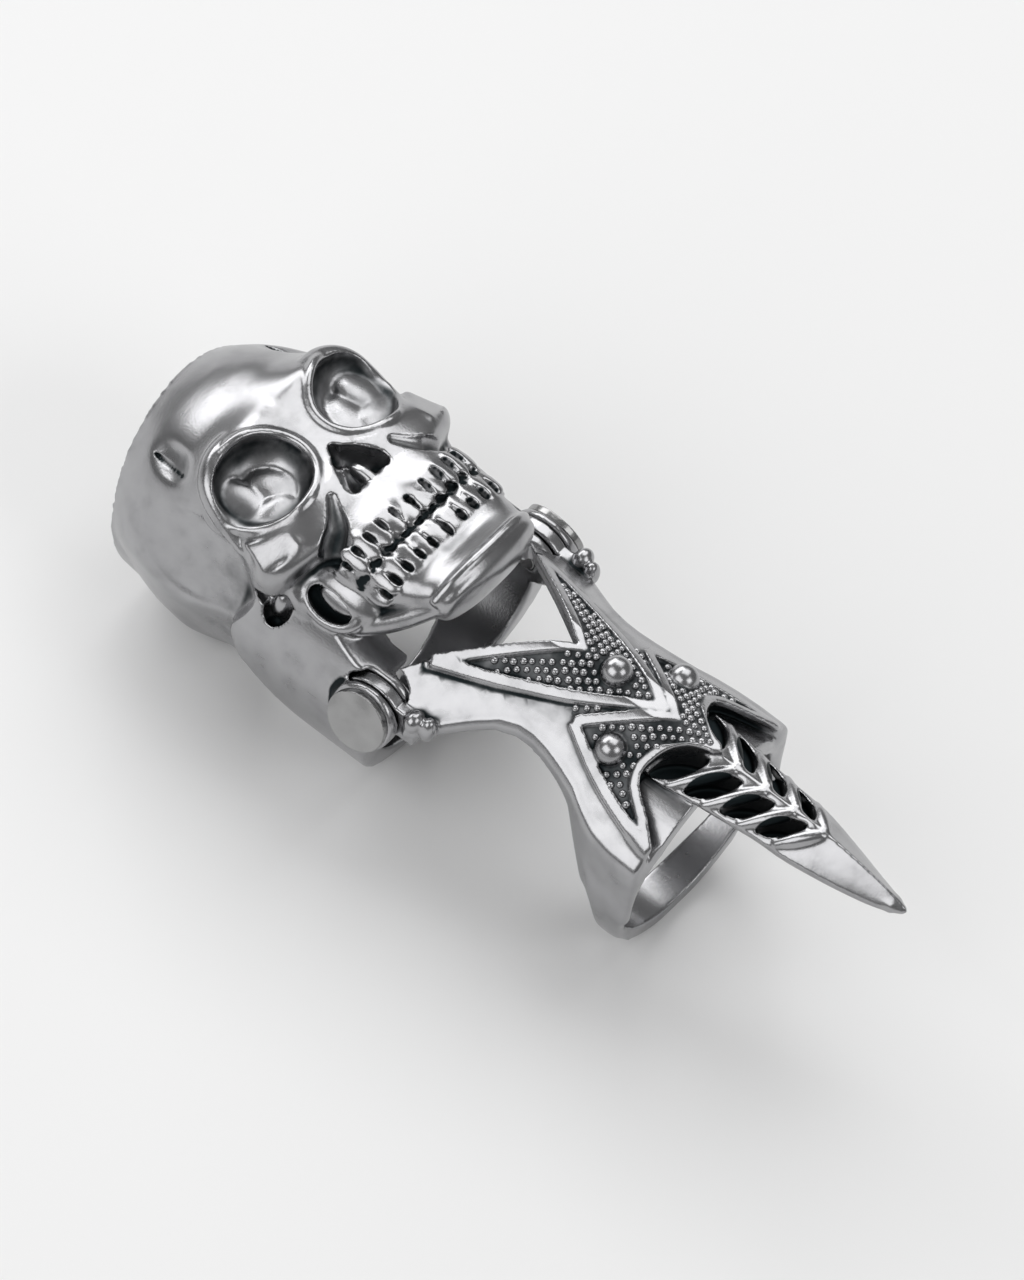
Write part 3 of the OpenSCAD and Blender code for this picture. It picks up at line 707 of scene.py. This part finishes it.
STUDS = ((0, 14.7, 1.3), (4.5, 18.15, 1.3))
RIB_STEP = 3.2
ribs = []
for side in (-1, 1):
    for rib in range(4):
        reach = 3.95 - 0.42 * rib
        heel = 23.3 + RIB_STEP * rib
        run = 3.9 - 0.3 * rib
        path = [(reach * share * side, heel + run * (1 - share)) for share in (1.0, 0.75, 0.5, 0.25, 0.04)]
        ribs.append(wire_along([on_plate(x, y) - Vector((0, 0, 0.12)) for x, y in path],
                               [0.28, 0.54, 0.62, 0.56, 0.36]))
for side in (-1, 1):
    ribs.append(pebble((10.5 * side, 3.95, 2.05), (1.0, 0.8, 1.0)))
    ribs.append(pebble((10.1 * side, 5.1, 1.7), (0.8, 0.7, 1.3)))
ribs.append(wire_along([(0, 37.5, 5.9), (0, 41, 6.0), (0, 43.3, 5.85)], [0.7, 0.95, 0.82]))
joined(claw, ribs)
worked(claw, "REMESH", mode="VOXEL", voxel_size=0.12 * MM)
spots = corners(claw)
mark(claw, "spike", 0.4 * rise(spots[:, 1], 35.0, 37.0) + 0.6 * rise(spots[:, 1], 42.0, 43.0))
outward = rise(np.abs(spots[:, 0]), 6.4, 7.4) * rise(spots[:, 1], 8.0, 10.0)
mark(claw, "band sides", outward * (1 - rise(spots[:, 2], 2.2, 3.4)))
leafy = rise(spots[:, 1], 21.0, 22.5) * (1 - rise(spots[:, 1], 35.5, 36.5))
mark(claw, "leaf ribs", leafy * rise(spots[:, 2], 4.8, 5.4))
mark(claw, "wings", rise(np.abs(spots[:, 0]), 6.6, 7.8) * rise(spots[:, 1], 22.5, 24.0))
worked(claw, "SMOOTH", factor=0.5, iterations=7)
worked(claw, "SMOOTH", factor=0.5, iterations=10, vertex_group="leaf ribs")
worked(claw, "SMOOTH", factor=0.5, iterations=26, vertex_group="spike")
worked(claw, "SMOOTH", factor=0.6, iterations=60, vertex_group="band sides")
worked(claw, "SMOOTH", factor=0.6, iterations=60, vertex_group="wings")
worked(claw, "DECIMATE", ratio=min(1, MOST_FACES / len(claw.data.polygons)))

mark_hollows(claw, ((8, 0.7), (60, 0.5), (250, 0.3)), 0.5)
spots = corners(claw)
hollows = hollows_of(claw)
upward = rise(normals_of(claw)[:, 2], 0.2, 0.5) * rise(spots[:, 2], 1.0, 2.0)
side_places = np.abs(spots[:, 0])
off_border = off_line(side_places, spots[:, 1], BORDERS)
ground = in_fields(spots[:, 0], spots[:, 1]) * rise(off_border, 0.25, 0.45)
off_v = off_line(side_places, spots[:, 1], (FIRST_V,))
beside_v = rise(off_v, 0.35, 0.5) * (1 - rise(off_v, 0.6, 0.8)) * rise(off_border, 0.3, 0.45)
for x, y, size in STUDS:
    ground *= rise(np.hypot(side_places - x, spots[:, 1] - y), size - 0.15, size)
hollows = np.maximum(hollows, upward * np.maximum(0.42 * ground, 0.5 * beside_v))
for leaf in range(4):
    lean = math.radians(45 - 3 * leaf)
    across = side_places - (2.3 - 0.28 * leaf)
    along = spots[:, 1] - (23.1 + RIB_STEP * leaf)
    length, width = 4.9 - 0.25 * leaf, 1.7 - 0.16 * leaf
    bow = (length ** 2 + width ** 2) / (4 * width)
    wide = np.abs(across * math.cos(lean) + along * math.sin(lean))
    deep = along * math.cos(lean) - across * math.sin(lean)
    in_leaf = np.sqrt((bow ** 2 - deep ** 2).clip(0)) - (bow - width / 2) - wide
    hollows = np.maximum(hollows, 0.75 * rise(in_leaf, -0.02, 0.12) * rise(spots[:, 2], 5.2, 5.4))
keep_hollows(claw, hollows)
claw_silver = antique_metal("claw_silver", SILVER_PLATE, BLACKENING_AND_SHADE, 0.8, 0.12)
dress(claw, claw_silver)
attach(claw, "claw_body")
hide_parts("claw_ring")

# The granulation: small half-round grains cast with the ground, rubbed bright on top. One grain
# is made and copied over each field, row by row, clear of the borders and the studs.
GRAIN_PITCH = 0.74
GRAIN_RADIUS = 0.34
bpy.ops.object.select_all(action="DESELECT")
bpy.ops.mesh.primitive_ico_sphere_add(subdivisions=2, radius=GRAIN_RADIUS * MM)
grain = bpy.context.object
grain.name = "granulation"
shift = np.random.default_rng(7)
rows = [(column * GRAIN_PITCH + (row % 2) * GRAIN_PITCH / 2, row * GRAIN_PITCH * 0.86)
        for row in range(int(26 / (GRAIN_PITCH * 0.86))) for column in range(-12, 13)]
grid = np.array(rows) + shift.uniform(-0.07, 0.07, (len(rows), 2))
clear = off_line(np.abs(grid[:, 0]), grid[:, 1], BORDERS) > 0.5
for x, y, size in STUDS:
    clear &= np.hypot(np.abs(grid[:, 0]) - x, grid[:, 1] - y) > size + 0.12
grains = []
for x, y in grid[in_fields(grid[:, 0], grid[:, 1]) & clear]:
    copy = grain.copy()
    copy.data = grain.data.copy()
    bpy.context.collection.objects.link(copy)
    copy.location = from_hinge(*on_plate(x, y))
    copy.rotation_euler = shift.uniform(0, 3, 3)
    copy.scale = [shift.uniform(0.85, 1.1)] * 3
    grains.append(copy)
grain.location = grains[0].location
joined(grain, grains)
settle(grain)
keep_hollows(grain, np.zeros(len(grain.data.vertices)))
dress(grain, claw_silver)
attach(grain, "claw_body")

# The two hinge rivets are turned steel, with flat heads whose rims are rounded over. They are
# pressed into the ears of the skull ring and the claw ring turns on them.
rivet_steel = antique_metal("rivet_steel", (0.36, 0.36, 0.36), (0.03, 0.03, 0.03), 1.2, 0.2)
for name in ("hinge_rivet_left", "hinge_rivet_right"):
    rivet = casting(name, name + "_turned")
    worked(rivet, "REMESH", mode="VOXEL", voxel_size=0.06 * MM)
    worked(rivet, "SMOOTH", factor=0.5, iterations=8)
    keep_hollows(rivet, np.zeros(len(rivet.data.vertices)))
    dress(rivet, rivet_steel)
    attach(rivet, "skull_body")
    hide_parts(name)

# The studio: a pale floor and backdrop in one, wide soft lights, and the camera square to the
# photograph's view.
bpy.ops.object.select_all(action="DESELECT")
bpy.ops.mesh.primitive_plane_add(size=3)
floor = bpy.context.object
floor.name = "studio_floor"
paper = bpy.data.materials.new("pale_paper")
paper.use_nodes = True
paper.node_tree.nodes["Principled BSDF"].inputs["Base Color"].default_value = (0.86, 0.86, 0.86, 1)
paper.node_tree.nodes["Principled BSDF"].inputs["Roughness"].default_value = 0.9
floor.data.materials.append(paper)

PHOTO_HEIGHT = 1280
PIXELS_PER_MM = 12.9
HINGE_RIGHT_OF_CENTRE = -56
HINGE_ABOVE_CENTRE = 14
view_right = Vector((-0.6235, 0.770, 0.128)).normalized()
view_back = Vector((0.50, 0.27, 0.82))
view_back = (view_back - view_back.dot(view_right) * view_right).normalized()
view_up = view_back.cross(view_right)
centre = hinge - (view_right * HINGE_RIGHT_OF_CENTRE + view_up * HINGE_ABOVE_CENTRE) / PIXELS_PER_MM * MM
lens = bpy.data.cameras.new("photo_camera")
lens.type = "ORTHO"
lens.ortho_scale = PHOTO_HEIGHT / PIXELS_PER_MM * MM
lens.clip_start = 0.01
lens.clip_end = 10
camera = bpy.data.objects.new("photo_camera", lens)
bpy.context.collection.objects.link(camera)
turn = Matrix((view_right, view_up, view_back)).transposed().to_4x4()
camera.matrix_world = Matrix.Translation(centre + view_back * 0.4) @ turn
bpy.context.scene.camera = camera


def soft_light(name, direction, distance, size, power):
    """A square soft box that faces the ring from a direction seen from it"""
    lamp = bpy.data.lights.new(name, "AREA")
    lamp.shape = "RECTANGLE"
    lamp.size, lamp.size_y = size
    lamp.energy = power
    holder = bpy.data.objects.new(name, lamp)
    bpy.context.collection.objects.link(holder)
    aim = Vector(direction).normalized()
    holder.location = hinge + aim * distance
    holder.rotation_euler = aim.to_track_quat("Z", "Y").to_euler()


soft_light("key_box", (-0.50, -0.15, 0.84), 0.8, (0.62, 0.62), 2.5)
soft_light("back_box", (-0.30, -0.78, 0.54), 0.9, (0.85, 0.5), 3.9)
soft_light("near_box", (0.74, -0.22, 0.63), 0.8, (0.75, 0.6), 2.7)
soft_light("front_box", (-0.02, 0.76, 0.64), 0.9, (0.5, 0.45), 1.4)

world = bpy.data.worlds.new("studio_air")
world.use_nodes = True
world.node_tree.nodes["Background"].inputs["Color"].default_value = (0.8, 0.8, 0.8, 1)
world.node_tree.nodes["Background"].inputs["Strength"].default_value = 0.27
bpy.context.scene.world = world
bpy.context.scene.view_settings.view_transform = "Standard"
